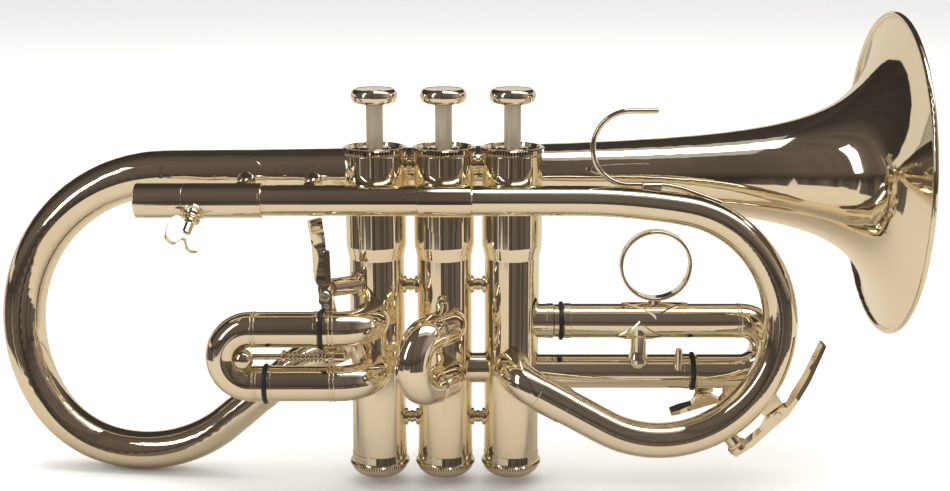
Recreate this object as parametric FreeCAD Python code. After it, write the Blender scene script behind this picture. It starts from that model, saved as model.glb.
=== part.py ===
"""A compact soprano cornet: three piston valves, a round wrap and three tuning slides.

Frame: the origin is the centre of the mouthpiece receiver's mouth. +X runs along the
leadpipe towards the bell, +Y to the player's left and +Z up. All sizes are millimetres.
"""
import FreeCAD
import Part
import math
import os

V = FreeCAD.Vector
X, Y, Z = V(1, 0, 0), V(0, 1, 0), V(0, 0, 1)

# ---------------------------------------------------------------- driving dimensions
TOUCH = 0.02                # gap left between soldered neighbours
RUN = 0.05                  # radial running clearance of slides and pistons
WALL = 0.55                 # wall of drawn tubes

# valves
VALVE_X = 84.5              # first valve's axis
PITCH = 25.2                # distance between valve axes
VALVE_Y = 17.0
VALVES = [VALVE_X + PITCH * n for n in range(3)]
PISTON_R = 8.4
STROKE = 15.5
CASING_R = 10.25            # lower casing
BALUSTER_R = 11.15          # upper casing
CASING_BOTTOM, CONE_BOTTOM, CONE_TOP, CASING_TOP = -103.5, -24.3, -19.9, 14.4
CAP_FOOT, CAP_TOP, HUB_TOP = 8.4, 17.0, 16.8
CAP_THREAD_R = 9.9
BOTTOM_SEAM, VALVE_FLOOR = -100.9, -109.6
STEM_R = 3.1
BUTTON_R, BUTTON_BOTTOM, BUTTON_TOP = 8.5, 32.8, 38.25
BUTTON_RECESS = 0.6         # depth of the felt's seat under the button
PISTON_TOP, PISTON_FOOT, BARREL_TOP = -24.0, -82.0, 6.6
GUIDE_Z, GUIDE_T = -21.5, 2.0
INTER_VALVE_Z = -68.0

# tubing shared by the slides
LEG_R = 6.5                 # outer tube, outside
LEG_BORE = LEG_R - WALL     # outer tube, inside
INNER_R = LEG_BORE - RUN    # inner tube, outside
INNER_BORE = INNER_R - 0.5

# leadpipe
SHANK_R = 4.83              # mouthpiece shank at the receiver's mouth
RECEIVER_R, RECEIVER_L = 6.35, 17.2
CLAMP_R, CLAMP_END = 6.3, 45.1
LEAD_R, FERRULE_R = 5.5, 5.9
FERRULE_START, FERRULE_END = 100.5, 120.3
INSERT_R = LEAD_R - WALL - RUN
INSERT_END = 78.0

# front crook
CROOK_START = 157.0         # where the leadpipe starts to turn
CROOK_EASE_R, CROOK_EASE_DEG = 240.0, 9.4
CROOK_R, CROOK_DEG = 43.0, 199.7
CROOK_Y = -6.0              # the crook leans towards the player's right
CROOK_TUBE = (5.5, 6.5)
ELBOW_R = 11.0
ELBOW_PORT_Z = -64.0

# bell: r = BELL_THROAT + k / (distance to the rim + BELL_FLARE) ** BELL_POWER
BELL_Y, BELL_Z = 40.0, 2.6
RIM_X, RIM_R = 279.2, 60.7
BELL_THROAT, BELL_FLARE, BELL_POWER = 6.0, 10.6, 0.885
BELL_WALL = 0.6
TAIL_X = 2.9                # where the straight bell tail starts its bow
TAIL_BENDS = ((58.4, 120.75), (39.8, 49.4), (54.5, 50.4))
TAIL_RUN = 33.0
TAIL_END_R = 6.6
TAIL_PORT = (22.0, -55.6)   # Y and Z where the tail meets the first valve

# slides
FIRST_Y, FIRST_TOP, FIRST_LOW = -8.0, -45.6, -66.0
FIRST_BOW_X, FIRST_KNUCKLE_X, FIRST_KNUCKLE_R = 40.6, 70.9, 12.5
FIRST_UPPER_RING_X, FIRST_LOWER_RING_X = 66.0, 45.5
FIRST_BOW_TAIL = 4.0        # how much further the bow's lower end reaches than its upper end
SECOND_TOP, SECOND_LOW = -47.6, -67.9
SECOND_EXIT, SECOND_DRAW = 10.0, -36.0      # bearings from -Y: leaving the valve, and drawn out
SECOND_BEND_R, SECOND_LEG = 7.0, 8.5
THIRD_TOP, THIRD_LOW, THIRD_BOW_X = -49.5, -69.4, 221.4
THIRD_RING_X, THIRD_RING_Z, THIRD_RING_R = 188.6, -27.9, 13.5
THIRD_ARM_X, THIRD_STOP_X = 182.5, 197.55

# thumb trigger of the first slide
TRIGGER_X, TRIGGER_Z = 67.4, -33.4
TRIGGER_LEAN = 11.0         # the lever stands this far either side of upright
LINK_Z = (FIRST_TOP + FIRST_LOW) / 2
LINK_DROP = TRIGGER_Z - LINK_Z
FIRST_BALL_X, FIRST_BALL_R = 37.9, 3.8
PIN_X = TRIGGER_X + LINK_DROP * math.tan(math.radians(TRIGGER_LEAN))

# water keys
KEY_W = 5.0
TONGUE_W = 2.4              # the hinge tongue between the lever's cheeks
FRONT_SEAT_DEG, FRONT_HINGE_DEG = -58.0, -37.7      # bearings from the bow's centre
THIRD_HINGE_X, THIRD_SEAT_X = 208.0, 218.0


# ---------------------------------------------------------------- helpers
def rod(radius, start, end):
    """A cylinder between two points."""
    start, end = V(*start), V(*end)
    return Part.makeCylinder(radius, (end - start).Length, start, end - start)


def pipe(outer, inner, start, end):
    """A straight tube between two points."""
    return rod(outer, start, end).cut(rod(inner, start, end))


def fuse(*shapes):
    """One solid from shapes that overlap or share faces."""
    whole = shapes[0].multiFuse(list(shapes[1:])) if len(shapes) > 1 else shapes[0]
    return whole.removeSplitter()


def rounded_outline(points, lift):
    """A closed wire through (a, b, corner radius) points, placed in space by lift(a, b)."""
    edges, ends = [], []
    for n, (a, b, radius) in enumerate(points):
        corner = V(a, b, 0)
        back = V(*points[n - 1][:2], 0) - corner
        ahead = V(*points[(n + 1) % len(points)][:2], 0) - corner
        if not radius:
            ends.append((corner, None, corner))
            continue
        room = min(back.Length, ahead.Length) * 0.49
        back.normalize()
        ahead.normalize()
        half = back.getAngle(ahead) / 2
        reach = min(radius / math.tan(half), room)
        radius = reach * math.tan(half)
        middle = (back + ahead).normalize()
        crown = corner + middle * (radius / math.sin(half) - radius)
        ends.append((corner + back * reach, crown, corner + ahead * reach))
    for n, (start, crown, end) in enumerate(ends):
        if crown:
            edges.append(Part.Arc(*[lift(p.x, p.y) for p in (start, crown, end)]).toShape())
        following = ends[(n + 1) % len(ends)][0]
        if (following - end).Length > 1e-6:
            edges.append(Part.LineSegment(lift(end.x, end.y),
                                          lift(following.x, following.y)).toShape())
    return Part.Wire(edges)


def lathe(profile, origin=(0, 0, 0), axis=(0, 0, 1)):
    """A turned solid from (radius, height[, corner radius]) points about an axis."""
    points = [(*p, 0)[:3] for p in profile]
    face = Part.Face(rounded_outline(points, lambda r, h: V(r, 0, h)))
    solid = face.revolve(V(0, 0, 0), Z, 360)
    solid.Placement = FreeCAD.Placement(V(*origin), FreeCAD.Rotation(Z, V(*axis)))
    return solid


def plate(points, y_low, y_high):
    """A flat plate drawn in X and Z, from y_low to y_high."""
    face = Part.Face(rounded_outline(points, lambda a, b: V(a, y_low, b)))
    return face.extrude(V(0, y_high - y_low, 0))


def route(start, heading, *moves):
    """A wire of straight runs, given by length, and bends, given by (radius, degrees, axis)."""
    point, ahead, edges = V(*start), V(*heading).normalize(), []
    for move in moves:
        if isinstance(move, (int, float)):
            following = point + ahead * move
            edges.append(Part.LineSegment(point, following).toShape())
        else:
            radius, degrees, axis = move
            centre = point + axis.cross(ahead) * radius
            middle = centre + FreeCAD.Rotation(axis, degrees / 2).multVec(point - centre)
            turn = FreeCAD.Rotation(axis, degrees)
            following = centre + turn.multVec(point - centre)
            edges.append(Part.Arc(point, middle, following).toShape())
            ahead = turn.multVec(ahead)
        point = following
    return Part.Wire(edges)


def ends_of(wire):
    """The first and last point of a route, and the direction it leaves in."""
    first, last = wire.Edges[0], wire.Edges[-1]
    return (first.valueAt(first.FirstParameter), last.valueAt(last.LastParameter),
            last.tangentAt(last.LastParameter))


def sweep(wire, radius):
    """A round bar along a route."""
    first = wire.Edges[0]
    start = first.valueAt(first.FirstParameter)
    ring = Part.Wire(Part.makeCircle(radius, start, first.tangentAt(first.FirstParameter)))
    return wire.makePipeShell([ring], True, False)


def bent_tube(wire, outer, inner):
    """A tube of constant bore along a route."""
    return sweep(wire, outer).cut(sweep(wire, inner))


def horn(points, radii):
    """A smooth tapering bar through circles standing square to a line of points."""
    curve = Part.BSplineCurve()
    curve.interpolate(points)
    rings = []
    for point, radius in zip(points, radii):
        ahead = V(*curve.tangent(curve.parameter(point))[0])
        rings.append(Part.Wire(ring_edge(point, ahead, radius)))
    return Part.makeLoft(rings, True, False)


def heading_at_end(points):
    """The direction in which the smooth curve through the points ends."""
    curve = Part.BSplineCurve()
    curve.interpolate(points)
    return V(*curve.tangent(curve.parameter(points[-1]))[0])


def ring_edge(point, ahead, radius):
    """A circle square to ahead whose seam always lies towards -Y."""
    side = (Y - ahead * Y.dot(ahead)).normalize() * -1
    turn = FreeCAD.Rotation(side, ahead.cross(side), ahead, "ZXY")
    circle = Part.Circle(V(0, 0, 0), Z, radius).toShape()
    circle.Placement = FreeCAD.Placement(point, turn)
    return circle


def smoothstep(t):
    """0 to 1 with level ends."""
    t = min(1.0, max(0.0, t))
    return t * t * (3 - 2 * t)


def knurled(radius, depth, teeth, low, high, centre):
    """A straight-knurled rim with bevelled edges, about a vertical axis."""
    points = []
    for n in range(teeth):
        for share, cut in ((-0.3, 0), (0.3, 0), (0.5, depth)):
            angle = 2 * math.pi * (n + share) / teeth
            points.append(V(math.cos(angle), math.sin(angle), 0) * (radius - cut) + Z * low)
    band = Part.Face(Part.makePolygon(points + points[:1])).extrude(V(0, 0, high - low))
    bevel = lathe([(0, low), (radius - 0.5, low), (radius, low + 0.4),
                   (radius, high - 0.4), (radius - 0.5, high), (0, high)])
    band = band.common(bevel)
    band.translate(V(centre[0], centre[1], 0))
    return band


def coil(radius, wire, low, high, turns):
    """A helical spring standing on low and reaching high."""
    low, high = low + wire, high - wire
    helix = Part.makeHelix((high - low) / turns, high - low, radius)
    start = helix.Edges[0].valueAt(helix.Edges[0].FirstParameter)
    heading = helix.Edges[0].tangentAt(helix.Edges[0].FirstParameter)
    ring = Part.Wire(Part.makeCircle(wire, start, heading))
    spring = Part.Wire(helix.Edges).makePipeShell([ring], True, True)
    spring.translate(V(0, 0, low))
    return spring


def moved(shape, x, y, z):
    """A copy of a shape shifted by x, y and z."""
    copy = shape.copy()
    copy.translate(V(x, y, z))
    return copy


def solid_casing(x):
    """A casing's outer envelope, used to trim whatever is soldered to it."""
    return lathe([(0, CASING_BOTTOM), (CASING_R, CASING_BOTTOM), (CASING_R, CONE_BOTTOM),
                  (BALUSTER_R, CONE_TOP), (BALUSTER_R, CASING_TOP), (0, CASING_TOP)],
                 (x, VALVE_Y, 0))


def soldered(shape, *neighbours):
    """A shape trimmed back from the solid envelopes that it is soldered to."""
    for neighbour in neighbours:
        shape = shape.cut(neighbour)
    return shape


# ---------------------------------------------------------------- centrelines
def crook_centreline():
    """The front crook's points: a run, an easy bend, a round bow and a run to the elbow."""
    heading = -(CROOK_EASE_DEG + CROOK_DEG)
    elbow_x = VALVES[2] - math.cos(math.radians(heading)) * ELBOW_R
    plan = route((FERRULE_START + 10, 0, 0), (1, 0, 0), CROOK_START - FERRULE_START - 10,
                 (CROOK_EASE_R, CROOK_EASE_DEG, Y), (CROOK_R, CROOK_DEG, Y))
    _, end, ahead = ends_of(plan)
    run = (elbow_x - end.x) / ahead.x
    plan = Part.Wire(plan.Edges + [Part.LineSegment(end, end + ahead * run).toShape()])
    points = plan.discretize(Number=41)
    for n, point in enumerate(points):
        point.y = CROOK_Y * smoothstep((n / 40 - 0.38) / 0.5)
    return points, ahead


def crook_radius(share):
    """Outer radius of the crook at a share of its length."""
    small, large = CROOK_TUBE
    return small + (large - small) * smoothstep((share - 0.15) / 0.55)


def horn_radius(x):
    """Outer radius of the bell at a place along its axis."""
    scale = (RIM_R - BELL_THROAT) * BELL_FLARE ** BELL_POWER
    return BELL_THROAT + scale / (RIM_X - x + BELL_FLARE) ** BELL_POWER


def tail_centreline():
    """The bell tail's points, from the straight tail round the bow to the first valve."""
    bends = [(radius, degrees, Y * -1) for radius, degrees in TAIL_BENDS]
    plan = route((TAIL_X, BELL_Y, BELL_Z), (-1, 0, 0), *bends, TAIL_RUN)
    points = plan.discretize(Number=45)
    drop = BELL_Y - TAIL_PORT[0]
    for n, point in enumerate(points):
        point.y = BELL_Y - drop * smoothstep((n / 44 - 0.22) / 0.78)
    return points


# ---------------------------------------------------------------- valves
def valve_casing(n, ports):
    """A two-diameter casing with its ports drilled where tubes enter."""
    x = VALVES[n]
    bore = PISTON_R + RUN
    shell = lathe([(bore, CASING_BOTTOM), (CASING_R - 0.6, CASING_BOTTOM),
                   (CASING_R - 0.6, BOTTOM_SEAM), (CASING_R, BOTTOM_SEAM),
                   (CASING_R, CONE_BOTTOM, 3), (BALUSTER_R, CONE_TOP, 3),
                   (BALUSTER_R, CASING_TOP, 0.3), (CAP_THREAD_R + TOUCH, CASING_TOP),
                   (CAP_THREAD_R + TOUCH, CAP_FOOT - TOUCH), (bore, CAP_FOOT - TOUCH)],
                  (x, VALVE_Y, 0))
    for start, end in ports:
        shell = shell.cut(rod(INNER_BORE - 0.2, start, end))
    return shell


def top_cap(x):
    """A screw cap with a knurled rim, a dished top and a stem hub."""
    seat = CASING_TOP + TOUCH
    dish = CAP_TOP - 2.0
    body = lathe([(STEM_R + RUN, CAP_FOOT), (CAP_THREAD_R, CAP_FOOT), (CAP_THREAD_R, seat),
                  (11.3, seat, 0.2), (11.3, dish + 0.3), (10.9, CAP_TOP, 0.3), (10.1, CAP_TOP, 0.3),
                  (9.4, dish, 0.8), (6.3, dish, 0.6), (5.8, HUB_TOP - 0.4, 0.5),
                  (4.7, HUB_TOP, 0.3), (STEM_R + RUN, HUB_TOP)], (x, VALVE_Y, 0))
    rim = knurled(11.85, 0.5, 72, seat + 0.5, CAP_TOP - 0.1, (x, VALVE_Y))
    return fuse(body, rim.cut(rod(10.9, (x, VALVE_Y, seat), (x, VALVE_Y, CAP_TOP))))


def bottom_cap(x):
    """A rounded screw cap with a knurled band and a breathing hole."""
    inside = CASING_R - 0.6 + TOUCH
    seam = BOTTOM_SEAM - TOUCH
    band_top, band_low = -104.4, -105.9
    floor = VALVE_FLOOR + 2.0
    body = lathe([(inside, CASING_BOTTOM - TOUCH), (inside, seam), (CASING_R + 0.12, seam, 0.15),
                  (10.5, band_top + 0.4, 3), (10.8, band_top, 0.2), (10.8, band_low - 0.2, 0.5),
                  (10.2, -107.6, 2.0), (8.4, -109.2, 2.0), (6.0, VALVE_FLOOR, 1.5),
                  (1.5, VALVE_FLOOR), (1.5, floor), (8.0, floor, 1.0),
                  (8.8, CASING_BOTTOM - TOUCH)], (x, VALVE_Y, 0))
    rim = knurled(11.3, 0.45, 72, band_low, band_top, (x, VALVE_Y))
    return fuse(body, rim.cut(rod(10.3, (x, VALVE_Y, -108), (x, VALVE_Y, -103))))


def piston(x):
    """A ported piston with its slotted spring barrel and stem, as one brazed piece."""
    shell = lathe([(0, PISTON_FOOT), (PISTON_R - 0.2, PISTON_FOOT), (PISTON_R, PISTON_FOOT + 0.4),
                   (PISTON_R, PISTON_TOP - 0.4), (PISTON_R - 0.2, PISTON_TOP), (0, PISTON_TOP)])
    hollow = lathe([(0, PISTON_FOOT + 1), (PISTON_R - 0.8, PISTON_FOOT + 1),
                    (PISTON_R - 0.8, PISTON_TOP - 1), (0, PISTON_TOP - 1)])
    shell = shell.cut(hollow)
    reach = PISTON_R + 4
    coquilles = [((-reach, 0, -57), (reach, 0, -66)), ((-reach, 0, -41), (0, -reach, -35)),
                 ((0, -reach, -53.5), (reach, 0, -46))]
    skin = lathe([(0, PISTON_FOOT + 0.5), (PISTON_R, PISTON_FOOT + 0.5),
                  (PISTON_R, PISTON_TOP - 0.5), (0, PISTON_TOP - 0.5)])
    ducts = [rod(4.6, *ends).common(skin) for ends in coquilles]
    shell = fuse(shell, *ducts)
    for ends in coquilles:
        shell = shell.cut(rod(4.1, *ends))
    stem_top = BUTTON_BOTTOM + BUTTON_RECESS - TOUCH
    barrel = lathe([(7.2, PISTON_TOP), (PISTON_R - 0.1, PISTON_TOP), (PISTON_R - 0.1, BARREL_TOP, 0.3),
                    (STEM_R, BARREL_TOP), (STEM_R, stem_top), (0, stem_top),
                    (0, BARREL_TOP - 1.5), (7.2, BARREL_TOP - 1.5)])
    slot_low = GUIDE_Z - GUIDE_T / 2 - 0.3
    slot_high = GUIDE_Z + GUIDE_T / 2 + STROKE + 0.5
    slot = Part.makeBox(24, 4, slot_high - slot_low, V(-12, -2, slot_low))
    return moved(fuse(shell, barrel.cut(slot)), x, VALVE_Y, 0)


def valve_guide(x):
    """A flat guide whose two ears pass through the barrel's slots to the casing."""
    hub = lathe([(2, 0), (6.6, 0, 0.2), (6.6, GUIDE_T, 0.2), (2, GUIDE_T)])
    ears = Part.makeBox(2 * PISTON_R + 2, 3, GUIDE_T, V(-PISTON_R - 1, -1.5, 0))
    ears = ears.common(rod(PISTON_R + RUN, (0, 0, 0), (0, 0, GUIDE_T)))
    guide = fuse(hub, ears.cut(rod(5, (0, 0, -1), (0, 0, 4))))
    return moved(guide, x, VALVE_Y, GUIDE_Z - GUIDE_T / 2)


def finger_button(x):
    """A rounded finger button with a shallow dish, recessed below for its felt."""
    low, high = BUTTON_BOTTOM, BUTTON_TOP
    return lathe([(0, low + BUTTON_RECESS), (4.4, low + BUTTON_RECESS), (4.4, low, 0.2),
                  (6.2, low, 1.4), (8.0, low + 0.8, 1.6), (BUTTON_R, low + 2.6, 2.4),
                  (8.2, high - 1.1, 1.8), (7.2, high - 0.1, 0.9), (6.4, high - 0.3, 0.3),
                  (0, high - 0.7)], (x, VALVE_Y, 0))


def piston_felts(x):
    """The felt on the spring barrel and the felt under the finger button."""
    low = lathe([(STEM_R + 0.2, BARREL_TOP + TOUCH), (7.6, BARREL_TOP + TOUCH),
                 (7.6, CAP_FOOT - TOUCH), (STEM_R + 0.2, CAP_FOOT - TOUCH)], (x, VALVE_Y, 0))
    face, back = BUTTON_BOTTOM - 0.35, BUTTON_BOTTOM + BUTTON_RECESS - TOUCH
    high = lathe([(STEM_R + 0.1, face), (4.3, face), (4.3, back), (STEM_R + 0.1, back)],
                 (x, VALVE_Y, 0))
    return Part.makeCompound([low, high])


def bearing(degrees):
    """A level direction, measured from -Y towards +X."""
    return FreeCAD.Rotation(Z, degrees).multVec(Y * -1)


def second_slide_bend(z):
    """The bent part of a second slide's leg: its wire, and the point and direction it ends in."""
    ahead = bearing(SECOND_EXIT)
    start = V(VALVES[1], VALVE_Y, z) + ahead * (CASING_R - 3)
    wire = route(start, ahead, 3.0, (SECOND_BEND_R, SECOND_EXIT - SECOND_DRAW, Z * -1))
    _, end, ahead = ends_of(wire)
    return wire, end, ahead


def valve_struts():
    """Beaded struts between neighbouring casings, at three heights."""
    struts = []
    for z, reach in ((-87.5, CASING_R), (-35.3, CASING_R), (10.3, BALUSTER_R)):
        for n in range(2):
            gap = PITCH - 2 * reach
            bead = gap / 2
            turned = lathe([(0, -bead - 2.2), (3.3, -bead - 2.2), (3.3, -bead + 0.7, 0.3),
                            (1.9, -bead + 1.2, 0.4), (2.5, 0, 0.6), (1.9, bead - 1.2, 0.4),
                            (3.3, bead - 0.7, 0.3), (3.3, bead + 2.2), (0, bead + 2.2)],
                           (VALVES[n] + PITCH / 2, VALVE_Y, z), (1, 0, 0))
            struts.append(soldered(turned, solid_casing(VALVES[n]), solid_casing(VALVES[n + 1])))
    return Part.makeCompound(struts)


def inter_valve_tubes():
    """The two short tubes that join the casings."""
    tubes = []
    for n in range(2):
        tube = pipe(5.75, 5.2, (VALVES[n], VALVE_Y, INTER_VALVE_Z),
                    (VALVES[n + 1], VALVE_Y, INTER_VALVE_Z))
        tubes.append(soldered(tube, solid_casing(VALVES[n]), solid_casing(VALVES[n + 1])))
    return Part.makeCompound(tubes)


# ---------------------------------------------------------------- leadpipe
def mouthpiece_receiver():
    """The sliding receiver insert: a thick head and a shank inside the leadpipe."""
    taper_start, taper_end, throat = 12.0, 27.0, 4.2
    return lathe([(SHANK_R, 0), (RECEIVER_R, 0, 0.4), (RECEIVER_R, RECEIVER_L, 0.25),
                  (INSERT_R, RECEIVER_L), (INSERT_R, INSERT_END), (throat, INSERT_END),
                  (throat, taper_end), (SHANK_R, taper_start)], (0, 0, 0), (1, 0, 0))


SCREW_FOOT = V(22.0, 0, 0)
SCREW_AXIS = V(-0.14, -0.80, -0.585).normalize()
WING_TURN = 30.0            # how far the wings stand off the leadpipe's direction


def receiver_clamp():
    """The sleeve that grips the insert, with a saddle and a boss for the thumb screw."""
    sleeve = pipe(CLAMP_R, INSERT_R + RUN, (RECEIVER_L + 0.1, 0, 0), (CLAMP_END, 0, 0))
    step = lathe([(CLAMP_R - 0.3, 0), (CLAMP_R + 0.15, 0, 0.2), (CLAMP_R + 0.15, 1.0, 0.2),
                  (CLAMP_R - 0.3, 1.0)], (CLAMP_END - 1.0, 0, 0), (1, 0, 0))
    saddle = rod(3.9, SCREW_FOOT + SCREW_AXIS * 3, SCREW_FOOT + SCREW_AXIS * 12)
    saddle = saddle.common(rod(CLAMP_R + 0.6, (10, 0, 0), (40, 0, 0)))
    boss = lathe([(0, 3), (3.1, 3), (3.1, CLAMP_R + 1.0, 0.4), (2.5, CLAMP_R + 1.7, 0.3),
                  (0, CLAMP_R + 1.7)], SCREW_FOOT, SCREW_AXIS)
    foot = fuse(saddle, boss).cut(rod(CLAMP_R - 0.6, (0, 0, 0), (60, 0, 0)))
    body = fuse(sleeve, step, foot)
    return body.cut(rod(1.55, SCREW_FOOT, SCREW_FOOT + SCREW_AXIS * 12))


def clamp_screw():
    """A wing screw with two large rounded lobes on a stack of collars."""
    reach = INSERT_R + 0.45
    shank = lathe([(0, reach), (1.5, reach), (1.5, CLAMP_R + 1.9), (3.3, CLAMP_R + 2.1, 0.3),
                   (3.3, CLAMP_R + 3.0, 0.3), (2.0, CLAMP_R + 3.4, 0.3), (2.7, CLAMP_R + 4.0, 0.3),
                   (2.7, CLAMP_R + 4.9, 0.3), (2.0, CLAMP_R + 5.5, 0.3), (2.0, CLAMP_R + 10.5, 0.8),
                   (0, CLAMP_R + 10.5)])
    half = [(1.5, 5.4, 0.6), (5.0, 4.0, 1.6), (7.2, 7.6, 3.0), (6.4, 14.6, 2.6), (2.7, 16.2, 2.0)]
    outline = half + [(0, 11.0, 0.8)] + [(-a, b, radius) for a, b, radius in reversed(half)]
    wings = plate([(a, CLAMP_R + b, radius) for a, b, radius in outline], -1.15, 1.15)
    screw = fuse(shank, wings)
    side = (X - SCREW_AXIS * X.dot(SCREW_AXIS)).normalize()
    side = FreeCAD.Rotation(SCREW_AXIS, -WING_TURN).multVec(side)
    turn = FreeCAD.Rotation(side, SCREW_AXIS.cross(side), SCREW_AXIS, "ZXY")
    screw.Placement = FreeCAD.Placement(SCREW_FOOT, turn)
    return screw


def leadpipe():
    """The drawn outer tube from the clamp to the ferrule."""
    joint = FERRULE_START + 10
    return pipe(LEAD_R, LEAD_R - WALL, (CLAMP_END + TOUCH, 0, 0), (joint - TOUCH, 0, 0))


def crook_and_elbow():
    """The front crook, the elbow into the third valve and the ferrule between them."""
    points, ahead = crook_centreline()
    shares = [n / (len(points) - 1) for n in range(len(points))]
    radii = [crook_radius(share) for share in shares]
    outside = horn(points, radii)
    inside = horn(points, [radius - WALL for radius in radii])
    crook = outside.cut(inside)
    end = points[-1]
    tangent = heading_at_end(points)
    across = (Y - tangent * Y.dot(tangent)).normalize()
    axis = tangent.cross(across)
    bend = route(end + tangent * TOUCH, tangent, (ELBOW_R, 90, axis), 6.0)
    elbow = bent_tube(bend, CROOK_TUBE[1], CROOK_TUBE[1] - WALL)
    elbow = elbow.cut(solid_casing(VALVES[2]))
    collar_start = end - tangent * 11.0
    collar = lathe([(CROOK_TUBE[1] + TOUCH, 0), (CROOK_TUBE[1] + 0.3, 0, 0.15),
                    (CROOK_TUBE[1] + 0.3, 11.6, 0.15), (CROOK_TUBE[1] + TOUCH, 11.6)],
                   collar_start, tangent)
    collar = collar.cut(sweep(bend, CROOK_TUBE[1] + TOUCH))
    return crook, elbow, collar.cut(outside), outside


def lead_ferrule():
    """The ferrule where the leadpipe meets the crook, bevelled at both ends."""
    inside, edge, bevel = LEAD_R + TOUCH, LEAD_R + 0.08, 0.5
    return lathe([(inside, FERRULE_START), (edge, FERRULE_START), (FERRULE_R, FERRULE_START + bevel),
                  (FERRULE_R, FERRULE_END - bevel), (edge, FERRULE_END), (inside, FERRULE_END)],
                 (0, 0, 0), (1, 0, 0)).cut(rod(BALUSTER_R + TOUCH, (VALVES[1], VALVE_Y, CONE_TOP),
                                               (VALVES[1], VALVE_Y, CASING_TOP)))


def finger_hook(crook_solid):
    """The little finger's hook, bent from thin rod and laid along the crook."""
    path = route((185.5, 2.0, 32.0), (-1, 0, 0), 9.0, (13.3, 180, Y * -1), 8.0,
                 (40, 20, Y), 12.0)
    hook = sweep(path, 0.95)
    tip = Part.makeSphere(0.95, V(185.5, 2.0, 32.0))
    hook = fuse(hook, tip)
    lowest = 32.0 - 2 * 13.3
    foot = lathe([(0, 0), (1.6, 0, 0.4), (1.6, 7.0, 0.4), (0, 7.0)],
                 (181.0, 1.6, lowest - 0.6), (1, 0, 0))
    return fuse(hook, foot).cut(crook_solid)


# ---------------------------------------------------------------- bell
def bell():
    """The flared bell, its straight tail and the bow to the first valve."""
    count = 30
    outer, inner = [], []
    for n in range(count + 1):
        x = TAIL_X + (RIM_X - TAIL_X) * (1 - (1 - n / count) ** 2.2)
        r = horn_radius(x)
        slope = (horn_radius(x + 0.01) - horn_radius(x - 0.01)) / 0.02
        length = math.hypot(1, slope)
        outer.append(V(x, r, 0))
        inner.append(V(x + BELL_WALL * slope / length, r - BELL_WALL / length, 0))
    edges = []
    for side in (outer, inner):
        curve = Part.BSplineCurve()
        curve.interpolate(side)
        edges.append(curve.toShape())
    edges.append(Part.LineSegment(outer[0], inner[0]).toShape())
    edges.append(Part.LineSegment(outer[-1], inner[-1]).toShape())
    face = Part.Face(Part.Wire(Part.__sortEdges__(edges)))
    flare = face.revolve(V(0, 0, 0), X, 360)
    flare.translate(V(0, BELL_Y, BELL_Z))
    points = tail_centreline()
    start_r = horn_radius(TAIL_X)
    radii = [start_r + (TAIL_END_R - start_r) * n / (len(points) - 1) for n in range(len(points))]
    outside = horn(points, radii)
    inside = horn(points, [radius - BELL_WALL for radius in radii])
    return flare.fuse(outside.cut(inside)), points


def bell_rim_wire():
    """The rolled bead round the bell's edge."""
    bead = Part.makeTorus(RIM_R - 0.2, 1.1, V(RIM_X - 0.1, BELL_Y, BELL_Z), X)
    return bead


def bell_envelope():
    """The straight tail and flare as a solid, used to trim the braces."""
    sides = [(horn_radius(x), x) for x in (TAIL_X, 60, 110, 150, 190)]
    return lathe([(0, TAIL_X)] + sides + [(0, 190)], (0, BELL_Y, BELL_Z), (1, 0, 0))


def bell_entry(points):
    """The knuckle that leads the bell tail into the first valve, with its end ring."""
    end, tangent = points[-1], heading_at_end(points)
    port = V(VALVES[0], TAIL_PORT[0] - 1.5, TAIL_PORT[1])
    middle = V((end.x + port.x) / 2 + 3, (end.y + port.y) / 2, port.z - 4.5)
    curve = Part.BSplineCurve()
    curve.interpolate([end + tangent * TOUCH, middle, port], InitialTangent=tangent,
                      FinalTangent=V(1, -0.08, 0))
    wire = Part.Wire(curve.toShape())
    knuckle = sweep(wire, TAIL_END_R).cut(sweep(wire, TAIL_END_R - WALL))
    ring = lathe([(TAIL_END_R - 0.3, 0.1), (TAIL_END_R + 0.6, 0.1, 0.3), (TAIL_END_R + 0.6, 3, 0.3),
                  (TAIL_END_R - 0.3, 3)], end, tangent)
    return fuse(knuckle, ring).cut(solid_casing(VALVES[0]))


def braces(bell_solid):
    """Saddle plates and posts that hold the leadpipe, bell and valves together."""
    pieces = []
    lead = rod(CLAMP_R + 0.2, (0, 0, 0), (200, 0, 0))
    for x, flange_r in ((34.7, 7.2), (60.0, 5.0)):
        post = lathe([(0, 3), (3.2, 3), (3.2, 8.2, 0.5), (1.9, 9.6, 0.5), (1.9, 14, 0.5),
                      (2.7, 16, 0.8), (1.9, 18, 0.5), (1.9, 27, 0.8), (3.6, 30, 0.5),
                      (3.6, 34), (0, 34)], (x, 0, BELL_Z * 0.5), (0, 1, 0))
        disc = rod(flange_r, (x, 24, BELL_Z), (x, 40, BELL_Z))
        skin = lathe([(0, TAIL_X)] + [(horn_radius(s) + 0.7, s) for s in (TAIL_X, 60, 110)]
                     + [(0, 110)], (0, BELL_Y, BELL_Z), (1, 0, 0))
        plate_piece = disc.common(skin)
        pieces.append(fuse(post, plate_piece).cut(bell_solid).cut(lead))
    saddle = rod(7.6, (VALVES[1], -2, -6.5), (VALVES[1], VALVE_Y, -6.5))
    saddle = saddle.common(rod(BALUSTER_R + 0.6, (VALVES[1], VALVE_Y, -20), (VALVES[1], VALVE_Y, 6)))
    ferrule = rod(FERRULE_R + TOUCH, (90, 0, 0), (130, 0, 0))
    pieces.append(saddle.cut(solid_casing(VALVES[1])).cut(ferrule))
    for n in (0, 2):
        pad = rod(3.0, (VALVES[n], VALVE_Y, -4), (VALVES[n], BELL_Y, -4))
        pieces.append(pad.cut(solid_casing(VALVES[n])).cut(bell_solid))
    return Part.makeCompound([solid for piece in pieces for solid in piece.Solids])


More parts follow.
